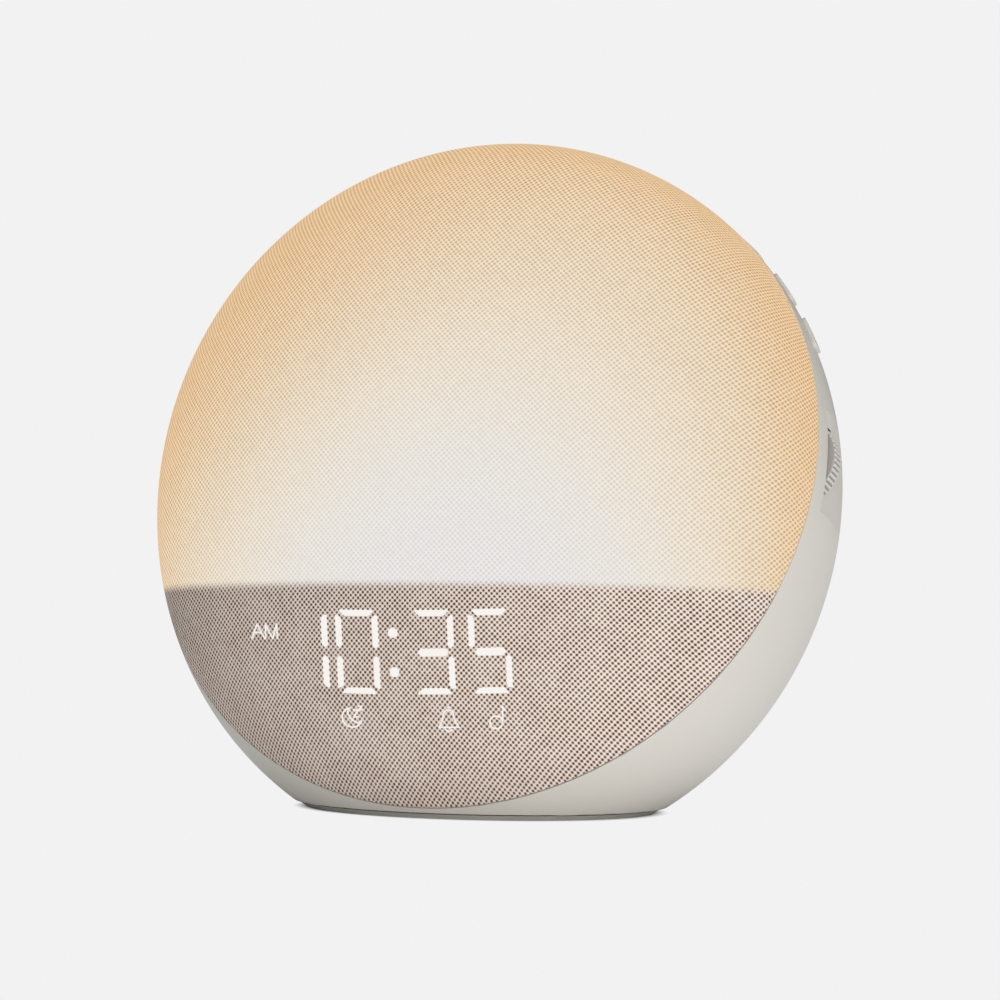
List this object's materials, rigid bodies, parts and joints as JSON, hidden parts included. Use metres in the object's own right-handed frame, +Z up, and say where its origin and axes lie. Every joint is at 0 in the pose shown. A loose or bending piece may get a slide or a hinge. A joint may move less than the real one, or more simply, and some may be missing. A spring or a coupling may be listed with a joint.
{
  "type": "sunrise alarm clock",
  "caption": "Pebble-shaped bedside wake-up lamp with a backlit cloth face, clock display, shoulder keys and thumb wheels.",
  "frame": {"origin": "on the table under the middle of the pebble, at the centre of its bounding box", "axes": "+X to the right seen from the front, -Y towards the user, +Z up"},
  "size_m": [0.1756, 0.1168, 0.1594],
  "materials": {
    "face_cloth": "fine two-colour mesh weave, lit from behind above the display",
    "diffuser": "translucent milky",
    "window_film": "smoked, translucent",
    "light_chamber": "white reflecting",
    "led_lens": "clear lens",
    "inner_plastic": "moulded",
    "housing": "fine satin texture, warm white",
    "keys": "satin",
    "wheels": "satin, grooved rim",
    "foot_rubber": "matte",
    "gasket_rubber": "foam",
    "dark_trim": "moulded black",
    "circuit_board": "green solder mask",
    "chip_black": "epoxy",
    "speaker_steel": "black passivated steel",
    "speaker_paper": "pressed paper",
    "screw_steel": "zinc plated"
  },
  "bodies": {
    "clock_body": {"front_cloth": "face_cloth", "diffuser_dome": "diffuser", "display_window": "window_film", "rim_ring": "dark_trim", "divider_shelf": "light_chamber", "reflector": "light_chamber", "led_board": "light_chamber", "leds": "led_lens", "display_block": "dark_trim", "display_segments": "led_lens", "display_board": "circuit_board", "chassis": "inner_plastic", "rear_housing": "housing", "base_plate": "housing", "base_pad": "foot_rubber", "key_board_right": "circuit_board", "key_board_left": "circuit_board", "key_board_top": "circuit_board", "key_switches": "dark_trim", "wheel_carrier_right": "dark_trim", "wheel_carrier_left": "dark_trim", "speaker_basket": "speaker_steel", "speaker_cone": "speaker_paper", "speaker_magnet": "speaker_steel", "speaker_gasket": "gasket_rubber", "speaker_grille": "housing", "grille_mesh": "dark_trim", "main_board": "circuit_board", "board_chips": "chip_black", "board_spacers": "screw_steel", "cell_holder": "dark_trim", "coin_cell": "screw_steel", "inlet_cup": "housing", "power_jack": "dark_trim", "jack_nut": "screw_steel", "chassis_screws": "screw_steel", "base_screws": "screw_steel", "speaker_screws": "screw_steel"},
    "key_right_1": {"key_right_1": "keys"},
    "key_right_2": {"key_right_2": "keys"},
    "key_right_3": {"key_right_3": "keys"},
    "key_left_1": {"key_left_1": "keys"},
    "key_left_2": {"key_left_2": "keys"},
    "key_left_3": {"key_left_3": "keys"},
    "snooze_bar": {"snooze_bar": "keys"},
    "wheel_right": {"wheel_right": "wheels"},
    "wheel_left": {"wheel_left": "wheels"}
  },
  "joints": [
    {"name": "key_right_1_press", "type": "slide", "parent": "clock_body", "child": "key_right_1", "axis": [-0.8385, -0.3467, -0.4203], "range_m": [0, 0.0006], "stiffness_N_per_m": 400, "springref_m": -0.0008},
    {"name": "key_right_2_press", "type": "slide", "parent": "clock_body", "child": "key_right_2", "axis": [-0.731, -0.4322, -0.5281], "range_m": [0, 0.0006], "stiffness_N_per_m": 400, "springref_m": -0.0008},
    {"name": "key_right_3_press", "type": "slide", "parent": "clock_body", "child": "key_right_3", "axis": [-0.6052, -0.5029, -0.6171], "range_m": [0, 0.0006], "stiffness_N_per_m": 400, "springref_m": -0.0008},
    {"name": "key_left_1_press", "type": "slide", "parent": "clock_body", "child": "key_left_1", "axis": [0.8385, -0.3467, -0.4203], "range_m": [0, 0.0006], "stiffness_N_per_m": 400, "springref_m": -0.0008},
    {"name": "key_left_2_press", "type": "slide", "parent": "clock_body", "child": "key_left_2", "axis": [0.731, -0.4322, -0.5281], "range_m": [0, 0.0006], "stiffness_N_per_m": 400, "springref_m": -0.0008},
    {"name": "key_left_3_press", "type": "slide", "parent": "clock_body", "child": "key_left_3", "axis": [0.6052, -0.5029, -0.6171], "range_m": [0, 0.0006], "stiffness_N_per_m": 400, "springref_m": -0.0008},
    {"name": "snooze_bar_press", "type": "slide", "parent": "clock_body", "child": "snooze_bar", "axis": [0, -0.683, -0.7304], "range_m": [0, 0.0006], "stiffness_N_per_m": 400, "springref_m": -0.0008},
    {"name": "wheel_right_turn", "type": "hinge", "parent": "clock_body", "child": "wheel_right", "pos_m": [0.07685, 0.00429, 0.08314], "axis": [0, -0.9128, 0.4083], "continuous": true},
    {"name": "wheel_left_turn", "type": "hinge", "parent": "clock_body", "child": "wheel_left", "pos_m": [-0.07685, 0.00429, 0.08314], "axis": [0, -0.9128, 0.4083], "continuous": true}
  ]
}
